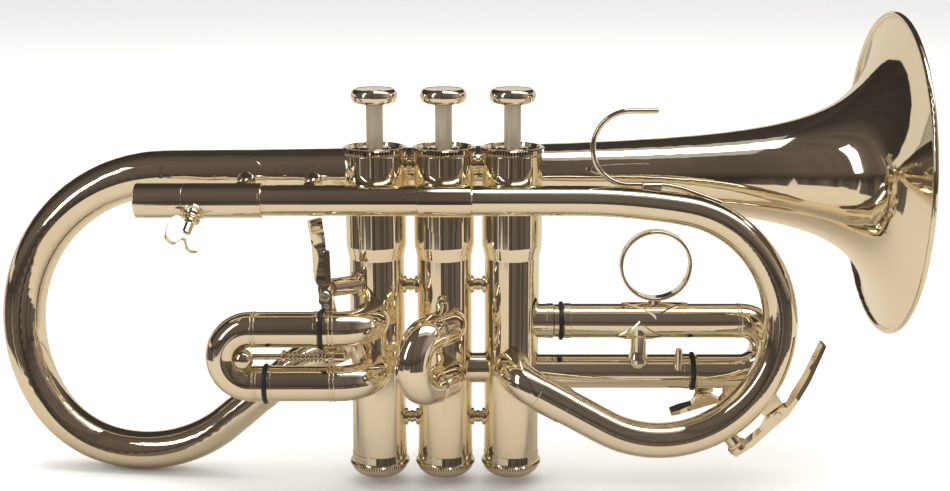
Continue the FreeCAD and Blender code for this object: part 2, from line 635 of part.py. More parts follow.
# ---------------------------------------------------------------- slides
def beads(x, y, z, axis=(1, 0, 0), gap=0.9):
    """A pair of fine beads round a leg, as a collar."""
    r = LEG_R
    return lathe([(r - 0.3, -gap - 0.35), (r, -gap - 0.35), (r + 0.3, -gap, 0.2), (r, -gap + 0.35),
                  (r, gap - 0.35), (r + 0.3, gap, 0.2), (r, gap + 0.35), (r - 0.3, gap + 0.35)],
                 (x, y, z), axis)


def knuckle_tube(start, heading, bend, length, valve):
    """A bent port tube that ends on a casing's wall."""
    wire = route(start, heading, bend, length)
    return bent_tube(wire, LEG_R, INNER_BORE).cut(solid_casing(valve))


def slide_knuckles():
    """The six bent port tubes that carry the three slides."""
    pieces = []
    for z in (FIRST_TOP, FIRST_LOW):
        tube = knuckle_tube((FIRST_KNUCKLE_X + TOUCH, FIRST_Y, z), X, (FIRST_KNUCKLE_R, 90, Z), 7,
                            VALVES[0])
        pieces.append(tube)
    for z in (SECOND_TOP, SECOND_LOW):
        wire, end, ahead = second_slide_bend(z)
        bend = bent_tube(wire, LEG_R, INNER_BORE)
        leg = pipe(LEG_R, LEG_BORE, end, end + ahead * SECOND_LEG)
        collar = beads(*(end + ahead * (SECOND_LEG - 1.6)), axis=ahead, gap=0.45)
        parts = [bend, leg, collar]
        if z == SECOND_TOP:
            low, high = LEG_R - 0.45, LEG_R + 3.2
            parts.append(lathe([(0, low), (1.6, low), (1.6, high, 0.7), (0, high)],
                               end + V(-0.3, 0.4, 0)))
        pieces.append(fuse(*parts).cut(solid_casing(VALVES[1])))
    for z in (THIRD_TOP, THIRD_LOW):
        tube = pipe(LEG_R, INNER_BORE, (VALVES[2], VALVE_Y, z), (THIRD_STUB[z] - TOUCH, VALVE_Y, z))
        pieces.append(tube.cut(solid_casing(VALVES[2])))
    return Part.makeCompound(pieces)


THIRD_STUB = {THIRD_TOP: 148.0, THIRD_LOW: 150.0}


def first_slide_fixed():
    """The inner tube of the upper leg and the outer tube of the lower leg."""
    y, end = FIRST_Y, FIRST_KNUCKLE_X
    step, mouth = FIRST_UPPER_RING_X + 0.85, FIRST_LOWER_RING_X + 0.85
    upper = lathe([(INNER_BORE, 43), (INNER_R, 43), (INNER_R, step), (LEG_R + 0.15, step, 0.15),
                   (LEG_R + 0.15, step + 1.4, 0.15), (LEG_R, step + 1.4), (LEG_R, end),
                   (INNER_BORE, end)], (0, y, FIRST_TOP), (1, 0, 0))
    lower = pipe(LEG_R, LEG_BORE, (mouth, y, FIRST_LOW), (end, y, FIRST_LOW))
    lip = lathe([(LEG_BORE + 0.2, mouth), (LEG_R + 0.2, mouth, 0.2), (LEG_R + 0.2, mouth + 1.4, 0.2),
                 (LEG_BORE + 0.2, mouth + 1.4)], (0, y, FIRST_LOW), (1, 0, 0))
    marks = [beads(end - 1.3, y, z, gap=0.7) for z in (FIRST_TOP, FIRST_LOW)]
    return Part.makeCompound([fuse(upper, marks[0]), fuse(lower, lip, marks[1])])


def first_slide_route():
    """The first slide's bow, from its upper joint round to its lower joint."""
    span = FIRST_TOP - FIRST_LOW
    return route((FIRST_BOW_X, FIRST_Y, FIRST_TOP), (-1, 0, 0), (span / 2, 180, Y * -1),
                 FIRST_BOW_TAIL)


def first_slide_bow():
    """The first slide's U-shaped bow with beads at its lower shoulder."""
    bow = bent_tube(first_slide_route(), LEG_R, INNER_BORE)
    return fuse(bow, beads(FIRST_BOW_X + 1.1, FIRST_Y, FIRST_LOW, gap=0.6))


def first_slide_tubes():
    """The moving outer sleeve of the upper leg and the moving inner tube of the lower leg."""
    end = FIRST_UPPER_RING_X - 1.0
    upper = pipe(LEG_R, LEG_BORE, (FIRST_BOW_X + TOUCH, FIRST_Y, FIRST_TOP), (end, FIRST_Y, FIRST_TOP))
    lip = lathe([(LEG_BORE + 0.2, end - 1.6), (LEG_R + 0.2, end - 1.6, 0.2), (LEG_R + 0.2, end, 0.2),
                 (LEG_BORE + 0.2, end)], (0, FIRST_Y, FIRST_TOP), (1, 0, 0))
    start = FIRST_BOW_X + FIRST_BOW_TAIL + TOUCH
    lower = pipe(INNER_R, INNER_BORE, (start, FIRST_Y, FIRST_LOW), (67, FIRST_Y, FIRST_LOW))
    bead = beads(FIRST_BOW_X + 1.1, FIRST_Y, FIRST_TOP, gap=0.6)
    return Part.makeCompound([fuse(upper, lip, bead), lower])


def o_ring(x, y, z, length):
    """A rubber bumper ring round an inner tube."""
    radius = LEG_R + 0.85
    return lathe([(INNER_R + TOUCH, -length / 2), (radius, -length / 2, length * 0.45),
                  (radius, length / 2, length * 0.45), (INNER_R + TOUCH, length / 2)],
                 (x, y, z), (1, 0, 0))


def first_slide_link():
    """The pull rod between the legs, with its ball end and the pin that the lever's fork holds."""
    start, end = FIRST_BALL_X, PIN_X + 2.4
    bar = lathe([(0, start), (1.1, start), (1.1, 51.6), (2.4, 51.6, 0.4), (2.4, 53.0, 0.4),
                 (1.1, 53.0), (1.1, 67.2), (2.4, 67.2, 0.4), (2.4, 68.6, 0.4), (1.1, 68.6),
                 (1.1, PIN_X - 1.8), (2.1, PIN_X - 1.4, 0.3), (2.1, end, 0.5), (0, end)],
                (0, FIRST_Y, LINK_Z), (1, 0, 0))
    ball = Part.makeSphere(FIRST_BALL_R, V(FIRST_BALL_X, FIRST_Y - 3.2, LINK_Z), Z)
    ball = ball.cut(sweep(first_slide_route(), LEG_R + TOUCH))
    pin = rod(1.0, (PIN_X, FIRST_Y, LINK_Z), (PIN_X, 2.2, LINK_Z))
    return bar.fuse(ball).fuse(pin)


def link_spring():
    """The return spring round the pull rod."""
    spring = coil(1.75, 0.3, 53.1, 67.1, 9)
    spring.Placement = FreeCAD.Placement(V(0, FIRST_Y, LINK_Z), FreeCAD.Rotation(Z, X)).multiply(
        spring.Placement)
    return spring


EAR_FRONT, EAR_BACK = (-7.2, -1.35), (2.1, 5.0)     # Y spans
LEVER_SPAN = (-0.55, 1.75)


def trigger_bracket():
    """The post on the first slide's stub and the barrel to the first casing, both eyed."""
    low, high = EAR_FRONT
    left, right = TRIGGER_X - 2.2, TRIGGER_X + 2.6
    narrow = TRIGGER_X - 1.3
    foot = FIRST_TOP + 4
    post = plate([(narrow, foot, 0), (right, foot, 0), (right, TRIGGER_Z + 2.5, 2.2),
                  (left, TRIGGER_Z + 2.5, 2.2), (left, TRIGGER_Z - 2.4, 0.5),
                  (narrow, TRIGGER_Z - 3.4, 0.5)], low, high)
    stub = rod(LEG_R + 0.3 + TOUCH, (40, FIRST_Y, FIRST_TOP), (80, FIRST_Y, FIRST_TOP))
    ring = rod(LEG_R + 1, (40, FIRST_Y, FIRST_TOP), (FIRST_UPPER_RING_X + 0.85, FIRST_Y, FIRST_TOP))
    post = post.cut(stub).cut(ring)
    start = V(TRIGGER_X, EAR_BACK[1] - 1, TRIGGER_Z)
    end = V(VALVES[0] - 5.8, VALVE_Y - 6.2, TRIGGER_Z)
    eye = rod(3.5, (TRIGGER_X, EAR_BACK[0], TRIGGER_Z), (TRIGGER_X, EAR_BACK[1], TRIGGER_Z))
    barrel = rod(3.4, start, end)
    back_cut = Part.makeBox(20, 20, 20, V(TRIGGER_X - 10, EAR_BACK[0] - 20, TRIGGER_Z - 10))
    barrel = barrel.cut(back_cut)
    flange = rod(4.6, start, end).common(rod(CASING_R + 0.7, (VALVES[0], VALVE_Y, -50),
                                             (VALVES[0], VALVE_Y, -25)))
    rear = fuse(eye, barrel, flange).cut(solid_casing(VALVES[0]))
    hole = rod(1.15, (TRIGGER_X, -10, TRIGGER_Z), (TRIGGER_X, EAR_BACK[1] - 0.6, TRIGGER_Z))
    return Part.makeCompound([post.cut(hole), rear.cut(hole)])


def trigger_screws():
    """The lever's pivot screw and the lock screw below it."""
    low = EAR_FRONT[0]
    pivot = fuse(rod(1.1, (TRIGGER_X, low - 0.5, TRIGGER_Z), (TRIGGER_X, EAR_BACK[1] - 0.8, TRIGGER_Z)),
                 lathe([(0, 0), (2.1, 0), (2.1, 0.6, 0.2), (1.6, 1.2, 0.3), (0, 1.2)],
                       (TRIGGER_X, low - TOUCH, TRIGGER_Z), (0, -1, 0)))
    slot = Part.makeBox(5, 0.5, 0.6, V(TRIGGER_X - 2.5, low - 1.4, TRIGGER_Z - 0.3))
    lock = lathe([(0, 0), (1.1, 0), (1.1, 0.7, 0.3), (0, 0.7)],
                 (TRIGGER_X + 0.6, low - TOUCH, TRIGGER_Z - 3.9), (0, -1, 0))
    return Part.makeCompound([pivot.cut(slot), lock])


def trigger_blade():
    """The thumb lever's blade: it twists from the pivot up to the pad that the thumb pushes."""
    wires = []
    for height, lean, width, twist in ((1.5, -1.0, 3.4, 0), (7.5, -2.7, 4.3, 8), (14, -2.5, 4.8, 30),
                                       (20, -2.9, 5.6, 45), (26.6, -3.8, 6.6, 55)):
        turn = FreeCAD.Rotation(Z, twist)
        corners = [turn.multVec(V(a * width / 2, b * 0.7, 0)) + V(lean, 0.4, height)
                   for a, b in ((-1, -1), (1, -1), (1, 1), (-1, 1))]
        wires.append(Part.makePolygon(corners + corners[:1]))
    return Part.makeLoft(wires, True, False)


def trigger_lever():
    """The thumb lever: a twisted blade above the pivot and a forked arm below it."""
    low, high = LEVER_SPAN
    eye = rod(3.0, (0, low, 0), (0, high, 0))
    arm_end = -LINK_DROP / math.cos(math.radians(TRIGGER_LEAN)) - 2.6
    arm = plate([(-1.9, 0, 0), (-1.9, arm_end, 0.8), (1.9, arm_end, 0.8), (1.9, 0, 0)], low, high)
    slot_top = -LINK_DROP + 1.7
    slot = Part.makeBox(2.3, 8, 20, V(-1.15, -4, slot_top - 20))
    arm = arm.cut(slot)
    arm.rotate(V(0, 0, 0), Y, -TRIGGER_LEAN)
    wing = plate([(-0.8, 1, 0), (1.6, 1, 0), (1.3, 15.0, 0.8), (-0.6, 15.0, 0.8)], 0.2, high)
    lever = fuse(eye, trigger_blade(), arm, wing).cut(rod(1.15, (0, -5, 0), (0, 5, 0)))
    return moved(lever, TRIGGER_X, 0, TRIGGER_Z)


def second_slide_bow():
    """The second slide's short bow with its two inner legs."""
    span = SECOND_TOP - SECOND_LOW
    lead = 0.6
    joints, legs = [], []
    for z in (SECOND_TOP, SECOND_LOW):
        _, end, ahead = second_slide_bend(z)
        joints.append(end + ahead * (SECOND_LEG + TOUCH))
        legs.append(pipe(INNER_R, INNER_BORE, end + ahead * 0.5, joints[-1]))
    axis = Z.cross(ahead)
    wire = route(joints[0], ahead, lead, (span / 2, 180, axis), lead)
    return fuse(bent_tube(wire, LEG_R, INNER_BORE), *legs)


def third_slide_fixed():
    """The inner tube of the upper leg and the outer tube of the lower leg."""
    y = VALVE_Y
    upper_start = THIRD_STUB[THIRD_TOP]
    upper = lathe([(INNER_BORE, upper_start), (LEG_R + 0.2, upper_start, 0.15),
                   (LEG_R + 0.2, 150.4, 0.15), (LEG_R - 0.2, 150.8), (LEG_R - 0.2, 152.4),
                   (INNER_R, 152.4), (INNER_R, 214), (INNER_BORE, 214)],
                  (0, y, THIRD_TOP), (1, 0, 0))
    lower = pipe(LEG_R, LEG_BORE, (THIRD_STUB[THIRD_LOW], y, THIRD_LOW), (202, y, THIRD_LOW))
    lip = lathe([(LEG_BORE + 0.2, 199.8), (LEG_R + 0.25, 199.8, 0.2), (LEG_R + 0.25, 202, 0.2),
                 (LEG_BORE + 0.2, 202)], (0, y, THIRD_LOW), (1, 0, 0))
    stop = lathe([(0, 2.5), (1.35, 2.5), (1.35, 10.6, 1.1), (0, 10.6)],
                 (THIRD_STOP_X, y - 5.7, THIRD_LOW))
    stop = stop.cut(rod(LEG_R - 0.2, (190, y, THIRD_LOW), (210, y, THIRD_LOW)))
    return Part.makeCompound([upper, fuse(lower, lip, stop)])


def third_slide_bow():
    """The third slide's bow with a bead at the upper shoulder."""
    span = THIRD_TOP - THIRD_LOW
    wire = route((THIRD_BOW_X, VALVE_Y, THIRD_TOP), (1, 0, 0), (span / 2, 180, Y),
                 THIRD_BOW_X - 205.0)
    return bent_tube(wire, LEG_R, INNER_BORE)


def third_slide_tubes():
    """The moving outer sleeve of the upper leg and the moving inner tube of the lower leg."""
    y = VALVE_Y
    end = THIRD_BOW_X - TOUCH
    upper = pipe(LEG_R, LEG_BORE, (154.5, y, THIRD_TOP), (end, y, THIRD_TOP))
    lip = lathe([(LEG_BORE + 0.2, 154.5), (LEG_R + 0.25, 154.5, 0.2), (LEG_R + 0.25, 157.2, 0.2),
                 (LEG_BORE + 0.2, 157.2)], (0, y, THIRD_TOP), (1, 0, 0))
    bead = beads(end - 1.2, y, THIRD_TOP, gap=0.5)
    arm = lathe([(0, -47.9), (2.3, -48.3, 1.2), (3.5, -50.2, 1.6), (3.5, -53.6, 0.4),
                 (3.05, -54.3, 0.4), (3.0, -60.5, 3), (3.8, -63.0, 1.2), (3.8, -65.2, 1.4),
                 (2.6, -66.6, 1.2), (0, -66.8)], (THIRD_ARM_X, y - 3.4, 0))
    arm = arm.cut(rod(LEG_BORE + 0.2, (150, y, THIRD_TOP), (220, y, THIRD_TOP)))
    arm = arm.cut(rod(LEG_R + 0.25, (150, y, THIRD_LOW), (220, y, THIRD_LOW)))
    patch = saddle_patch(THIRD_ARM_X, THIRD_TOP, V(0, -0.75, -0.66), 8.5, 5.5)
    upper = fuse(upper, lip, bead, arm, patch)
    lower = pipe(INNER_R, INNER_BORE, (176, y, THIRD_LOW), (205.0 - TOUCH, y, THIRD_LOW))
    return Part.makeCompound([upper, lower])


def saddle_patch(x, z, facing, half_length, half_width):
    """A diamond-shaped plate wrapped on a third-slide leg, on the side that facing points to."""
    centre = V(x, VALVE_Y, z)
    facing = facing.normalize()
    side = facing.cross(X)
    corners = [centre + X * half_length, centre + side * half_width,
               centre - X * half_length, centre - side * half_width]
    prism = Part.Face(Part.makePolygon(corners + corners[:1])).extrude(facing * 12)
    shell = pipe(LEG_R + 0.6, LEG_R - 0.2, (x - 20, VALVE_Y, z), (x + 20, VALVE_Y, z))
    return prism.common(shell)


def third_slide_ring():
    """The finger ring: a flat band on a short post with a diamond foot."""
    centre = V(THIRD_RING_X, VALVE_Y, THIRD_RING_Z)
    band = lathe([(THIRD_RING_R - 1.3, -2.6, 0.5), (THIRD_RING_R, -2.6, 0.5),
                  (THIRD_RING_R, 2.6, 0.5), (THIRD_RING_R - 1.3, 2.6, 0.5)],
                 centre, (0, 1, 0))
    leg_top = THIRD_TOP + LEG_R
    post = rod(2.4, (THIRD_RING_X, VALVE_Y, leg_top - 2),
               (THIRD_RING_X, VALVE_Y, THIRD_RING_Z - THIRD_RING_R + 0.7))
    foot = saddle_patch(THIRD_RING_X, THIRD_TOP, V(0, 0, 1), 12.5, 6.2)
    leg = rod(LEG_R + TOUCH, (150, VALVE_Y, THIRD_TOP), (220, VALVE_Y, THIRD_TOP))
    patch = saddle_patch(THIRD_ARM_X, THIRD_TOP, V(0, -0.75, -0.66), 8.5, 5.5)
    return fuse(post, foot, band).cut(leg).cut(patch)


# ---------------------------------------------------------------- water keys
# A key is drawn flat: a runs along the tube from the hinge to the seat, b away from the tube.
FRONT_LEVER = [(3.0, 2.4, 0.5), (3.0, 4.0, 1.2), (-4.6, 4.4, 5), (-14.8, 3.2, 4), (-21.8, 2.6, 3),
               (-35.3, -3.4, 14), (-48.0, -11.0, 0.5), (-47.2, -12.3, 0.5), (-35.0, -5.2, 14),
               (-23.8, -0.2, 1), (-21.0, -1.7, 1.2), (-16.6, -1.7, 2), (-10.8, 1.5, 4),
               (-3.3, 2.2, 2)]
THIRD_LEVER = [(3.0, 1.9, 0.5), (3.0, 3.3, 1.2), (-6.0, 3.0, 3), (-13.6, 5.4, 3), (-22.2, 7.6, 0.5),
               (-22.6, 6.3, 0.4), (-14.0, 3.2, 3), (-12.6, -0.7, 1.2), (-8.2, -1.0, 1.5),
               (-4.0, 1.6, 2), (-1.5, 1.9, 1)]
CUP_R, CUP_DEPTH, CORK_LIP = 3.7, 2.2, 0.9


def place_key(shape, key):
    """Moves a key part from its flat drawing to its place on the tube."""
    across = key["out"].cross(key["along"])
    turn = FreeCAD.Rotation(key["along"], across, key["out"], "XZY")
    shape = shape.copy()
    shape.Placement = FreeCAD.Placement(key["hinge"], turn).multiply(shape.Placement)
    return shape


def water_key(key):
    """A water key's lever: a cup at one end, a hinge eye and a finger tip at the other."""
    half = KEY_W / 2
    seat = key["reach"]
    outline = [(seat + a, key["face"] + b, radius) for a, b, radius in key["outline"]]
    bar = plate(outline, -half - 1.5, half + 1.5)
    waist = [(seat + 4, half), (4, half - 0.05), (-4, half - 0.05), (-9, half + 1.0),
             (key["tip"], half + 0.2)]
    corners = waist + [(a, -b) for a, b in reversed(waist)]
    face = Part.Face(rounded_outline([(a, b, 1.2) for a, b in corners], lambda a, b: V(a, b, -20)))
    bar = bar.common(face.extrude(V(0, 0, 40)))
    lip = key["face"] + CORK_LIP
    cup = lathe([(0, lip), (CUP_R, lip, 0.2), (CUP_R, lip + CUP_DEPTH, 0.7), (0, lip + CUP_DEPTH)],
                (seat, 0, 0))
    pocket = rod(CUP_R - 0.6, (seat, 0, lip - 1), (seat, 0, lip + 1.0))
    hole = rod(0.95, (0, -half - 1, 0), (0, half + 1, 0))
    gap = TONGUE_W / 2 + RUN
    slot = Part.makeBox(6.4, 2 * gap, 8, V(-3.2, -gap, -6))
    return place_key(fuse(bar, cup).cut(pocket).cut(hole).cut(slot), key)


def key_mount(key, tube):
    """The nipple, the hinge block with its tongue and the hinge screw of a water key."""
    low = key["surface"] - 2.5
    end = KEY_W / 2 - 0.05
    foot = key["foot"]
    block = plate([(-foot, low, 0), (foot, low, 0), (foot, key["block"], 0.4),
                   (-foot, key["block"], 0.4)], -end, end)
    tongue = plate([(-1.7, low, 0), (1.7, low, 0), (1.7, 1.7, 1.6), (-1.7, 1.7, 1.6)],
                   -TONGUE_W / 2, TONGUE_W / 2)
    saddle = fuse(block, tongue).cut(rod(0.95, (0, -9, 0), (0, 9, 0)))
    nipple = lathe([(1.4, low), (2.7, low), (2.7, key["face"] - TOUCH, 0.2),
                    (1.4, key["face"] - TOUCH)], (key["reach"], 0, 0))
    screw = lathe([(0, -end - 0.4), (1.3, -end - 0.4, 0.2), (1.3, -end - TOUCH), (0.9, -end - TOUCH),
                   (0.9, end + TOUCH), (1.3, end + TOUCH), (1.3, end + 0.4, 0.2), (0, end + 0.4)],
                  (0, 0, 0), (0, 1, 0))
    pieces = [place_key(piece, key) for piece in (saddle, nipple, screw)]
    return Part.makeCompound([pieces[0].cut(tube), pieces[1].cut(tube), pieces[2]])


def key_cork(key):
    """The cork pad in the cup, resting on the nipple."""
    face = key["face"]
    pad = lathe([(0, face), (CUP_R - 0.65, face, 0.2), (CUP_R - 0.65, face + CORK_LIP + 0.9),
                 (0, face + CORK_LIP + 0.9)], (key["reach"], 0, 0))
    return place_key(pad, key)


def on_bow(radius, degrees, y):
    """A point beside the crook's bow: its distance from the bow's centre and its bearing."""
    centre = bow_centre()
    bearing = math.radians(degrees)
    return V(centre.x + radius * math.cos(bearing), y, centre.z + radius * math.sin(bearing))


def bow_centre():
    """The centre that the front crook's round bow turns about."""
    ease = route((CROOK_START, 0, 0), X, (CROOK_EASE_R, CROOK_EASE_DEG, Y))
    _, end, ahead = ends_of(ease)
    return end + Y.cross(ahead) * CROOK_R


def front_key(points):
    """Where the front water key sits on the crook's bow."""
    rough = on_bow(CROOK_R, FRONT_SEAT_DEG, 0)
    nearest = min(points, key=lambda p: math.hypot(p.x - rough.x, p.z - rough.z))
    hinge = on_bow(CROOK_R + 10.8, FRONT_HINGE_DEG, nearest.y)
    seat = on_bow(CROOK_R + 9.3, FRONT_SEAT_DEG, nearest.y)
    along = seat - hinge
    reach = along.Length
    along.normalize()
    return {"hinge": hinge, "along": along, "out": along.cross(Y), "reach": reach, "face": 0.0,
            "surface": -4.6, "block": -2.7, "foot": 4.2, "outline": FRONT_LEVER, "tip": -32}


def third_key():
    """Where the second water key sits under the third slide."""
    hinge = V(THIRD_HINGE_X, VALVE_Y, THIRD_LOW - LEG_R - 3.7)
    return {"hinge": hinge, "along": V(1, 0, 0), "out": V(0, 0, -1),
            "reach": THIRD_SEAT_X - THIRD_HINGE_X, "face": -0.8, "surface": -3.7, "block": -2.5, "foot": 3.5,
            "outline": THIRD_LEVER, "tip": -14}


# ---------------------------------------------------------------- assembly
def build():
    """Every node of the cornet by name."""
    nodes = {}
    bell_shape, tail_points = bell()
    crook, elbow, collar, crook_solid = crook_and_elbow()
    envelope = bell_envelope()

    def port(n, z, side):
        """The straight hole for a tube that leaves valve n on one side."""
        foot = V(VALVES[n], VALVE_Y, z)
        return (foot + side * 4, foot + side * 14)

    swing = bearing(SECOND_EXIT)
    ports = [
        [port(0, FIRST_TOP, Y * -1), port(0, FIRST_LOW, Y * -1), port(0, INTER_VALVE_Z, X),
         port(0, TAIL_PORT[1], X * -1)],
        [port(1, INTER_VALVE_Z, X), port(1, INTER_VALVE_Z, X * -1), port(1, SECOND_TOP, swing),
         port(1, SECOND_LOW, swing)],
        [port(2, INTER_VALVE_Z, X * -1), port(2, THIRD_TOP, X), port(2, THIRD_LOW, X),
         port(2, ELBOW_PORT_Z, Y * -1)]]
    for n, x in enumerate(VALVES):
        name = str(n + 1)
        nodes["valve_casing_" + name] = valve_casing(n, ports[n])
        nodes["top_cap_" + name] = top_cap(x)
        nodes["bottom_cap_" + name] = bottom_cap(x)
        nodes["piston_" + name] = piston(x)
        nodes["finger_button_" + name] = finger_button(x)
        nodes["piston_felts_" + name] = piston_felts(x)
        nodes["valve_spring_" + name] = moved(
            coil(5.6, 0.4, GUIDE_Z + GUIDE_T / 2 + 0.05, BARREL_TOP - 1.6, 7), x, VALVE_Y, 0)
    nodes["valve_guides"] = Part.makeCompound([valve_guide(x) for x in VALVES])
    nodes["valve_struts"] = valve_struts()
    nodes["inter_valve_tubes"] = inter_valve_tubes()

    nodes["mouthpiece_receiver"] = mouthpiece_receiver()
    nodes["receiver_clamp"] = receiver_clamp()
    nodes["clamp_screw"] = clamp_screw()
    nodes["leadpipe"] = leadpipe()
    nodes["tube_ferrules"] = Part.makeCompound([lead_ferrule(), collar])
    nodes["front_crook"] = crook
    nodes["valve_3_elbow"] = elbow
    nodes["finger_hook"] = finger_hook(crook_solid)

    nodes["bell"] = bell_shape
    nodes["bell_rim_wire"] = bell_rim_wire().cut(bell_shape)
    nodes["bell_entry_tube"] = bell_entry(tail_points)
    nodes["body_braces"] = braces(envelope)

    nodes["slide_knuckles"] = slide_knuckles()
    nodes["slide_bumpers"] = Part.makeCompound([o_ring(FIRST_UPPER_RING_X, FIRST_Y, FIRST_TOP, 1.6),
                                                o_ring(153.45, VALVE_Y, THIRD_TOP, 1.7)])
    nodes["first_slide_fixed_tubes"] = first_slide_fixed()
    nodes["first_slide_bow"] = first_slide_bow()
    nodes["first_slide_tubes"] = first_slide_tubes()
    nodes["first_slide_bumper"] = o_ring(FIRST_LOWER_RING_X, FIRST_Y, FIRST_LOW, 1.6)
    nodes["first_slide_link"] = first_slide_link()
    nodes["link_spring"] = link_spring()
    nodes["trigger_bracket"] = trigger_bracket()
    nodes["trigger_lever"] = trigger_lever()
    nodes["trigger_screws"] = trigger_screws()
    nodes["second_slide_bow"] = second_slide_bow()
    nodes["third_slide_fixed_tubes"] = third_slide_fixed()
    nodes["third_slide_bow"] = third_slide_bow()
    nodes["third_slide_tubes"] = third_slide_tubes()
    nodes["third_slide_ring"] = third_slide_ring()
    nodes["third_slide_bumper"] = o_ring(203.4, VALVE_Y, THIRD_LOW, 1.7)

    points, _ = crook_centreline()
    key = front_key(points)
    nodes["front_water_key"] = water_key(key)
    nodes["front_water_key_mount"] = key_mount(key, crook_solid)
    nodes["front_water_key_cork"] = key_cork(key)
    key = third_key()
    leg = rod(LEG_R + TOUCH, (190, VALVE_Y, THIRD_LOW), (240, VALVE_Y, THIRD_LOW))
    nodes["third_water_key"] = water_key(key)
    nodes["third_water_key_mount"] = key_mount(key, leg)
    nodes["third_water_key_cork"] = key_cork(key)
    return nodes


def main():
    """Builds, checks and writes every node."""
    os.makedirs("parts", exist_ok=True)
    for name, shape in build().items():
        volume = sum(solid.Volume for solid in shape.Solids)
        if not shape.Solids or not shape.isValid() or volume <= 0:
            print("check", name, "solids", len(shape.Solids), "valid", shape.isValid())
        shape.exportStep(os.path.join("parts", name + ".step"))


main()
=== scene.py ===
import math

import bpy
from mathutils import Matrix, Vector


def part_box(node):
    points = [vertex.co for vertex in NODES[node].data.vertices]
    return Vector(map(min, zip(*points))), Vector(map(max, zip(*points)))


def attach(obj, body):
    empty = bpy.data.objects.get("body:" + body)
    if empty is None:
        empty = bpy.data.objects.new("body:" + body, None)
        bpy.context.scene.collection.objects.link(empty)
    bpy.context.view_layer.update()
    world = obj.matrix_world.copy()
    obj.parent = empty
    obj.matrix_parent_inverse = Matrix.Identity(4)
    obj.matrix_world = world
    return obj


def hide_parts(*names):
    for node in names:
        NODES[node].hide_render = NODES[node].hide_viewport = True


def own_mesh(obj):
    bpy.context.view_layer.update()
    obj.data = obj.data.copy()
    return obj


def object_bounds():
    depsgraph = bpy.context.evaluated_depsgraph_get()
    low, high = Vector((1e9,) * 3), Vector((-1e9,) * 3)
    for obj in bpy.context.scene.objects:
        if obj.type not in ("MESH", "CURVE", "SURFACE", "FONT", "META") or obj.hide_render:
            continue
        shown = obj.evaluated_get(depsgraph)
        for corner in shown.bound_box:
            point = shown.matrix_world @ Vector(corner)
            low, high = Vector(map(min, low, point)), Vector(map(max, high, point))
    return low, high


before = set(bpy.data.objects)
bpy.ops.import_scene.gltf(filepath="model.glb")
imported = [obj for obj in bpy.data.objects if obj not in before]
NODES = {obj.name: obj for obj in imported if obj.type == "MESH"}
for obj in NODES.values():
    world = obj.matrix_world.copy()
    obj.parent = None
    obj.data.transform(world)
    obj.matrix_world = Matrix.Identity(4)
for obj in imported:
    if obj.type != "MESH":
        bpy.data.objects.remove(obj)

CAD_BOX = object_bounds()
VALVES = (1, 2, 3)
MM = 0.001


# ---------------------------------------------------------------- material helpers
class Shader:
    """A node material built step by step around one Principled shader."""

    def __init__(self, name):
        self.material = bpy.data.materials.new(name)
        self.material.use_nodes = True
        self.tree = self.material.node_tree
        self.principled = self.tree.nodes["Principled BSDF"]
        self.place = self.add("ShaderNodeTexCoord").outputs["Object"]

    def add(self, kind, **settings):
        node = self.tree.nodes.new(kind)
        for key, value in settings.items():
            setattr(node, key, value)
        return node

    def link(self, source, target):
        self.tree.links.new(source, target)

    def feed(self, socket, value):
        """Links a socket or stores a plain value."""
        if isinstance(value, bpy.types.NodeSocket):
            self.link(value, socket)
        else:
            socket.default_value = value

    def set(self, **values):
        """Feeds inputs of the Principled shader by name, with _ for a space."""
        for key, value in values.items():
            self.feed(self.principled.inputs[key.replace("_", " ")], value)

    def math(self, operation, a, b=0.0, c=0.0):
        node = self.add("ShaderNodeMath", operation=operation)
        for socket, value in zip(node.inputs, (a, b, c)):
            self.feed(socket, value)
        return node.outputs[0]

    def stretch(self, scale):
        """The place on the object, scaled differently along each axis."""
        node = self.add("ShaderNodeMapping")
        self.link(self.place, node.inputs["Vector"])
        node.inputs["Scale"].default_value = scale
        return node.outputs[0]

    def noise(self, scale, detail=3.0, rough=0.55, vector=None):
        """Soft noise between 0 and 1, with scale features to the metre."""
        node = self.add("ShaderNodeTexNoise")
        self.link(vector or self.place, node.inputs["Vector"])
        node.inputs["Scale"].default_value = scale
        node.inputs["Detail"].default_value = detail
        node.inputs["Roughness"].default_value = rough
        return node.outputs["Fac"]

    def span(self, value, low, high, out_low=0.0, out_high=1.0):
        """Maps low..high to out_low..out_high and stops at both ends."""
        node = self.add("ShaderNodeMapRange")
        for key, item in zip(("Value", "From Min", "From Max", "To Min", "To Max"),
                             (value, low, high, out_low, out_high)):
            self.feed(node.inputs[key], item)
        return node.outputs[0]

    def mix(self, share, first, second):
        """From the first colour at a share of 0 to the second at 1."""
        node = self.add("ShaderNodeMix", data_type="RGBA")
        self.feed(node.inputs[0], share)
        for socket, value in ((node.inputs[6], first), (node.inputs[7], second)):
            self.feed(socket, value if isinstance(value, bpy.types.NodeSocket) else (*value, 1))
        return node.outputs[2]

    def bump(self, height, distance, base=None):
        node = self.add("ShaderNodeBump")
        node.inputs["Strength"].default_value = 1.0
        node.inputs["Distance"].default_value = distance
        self.link(height, node.inputs["Height"])
        if base:
            self.link(base, node.inputs["Normal"])
        return node.outputs["Normal"]

    def crevice(self, reach):
        """1 in the open, falling to 0 in tight corners."""
        node = self.add("ShaderNodeAmbientOcclusion", samples=6)
        node.inputs["Distance"].default_value = reach
        return node.outputs["AO"]


def shade(colour, share):
    """A colour with each channel scaled by its own share."""
    return tuple(c * k for c, k in zip(colour, share))


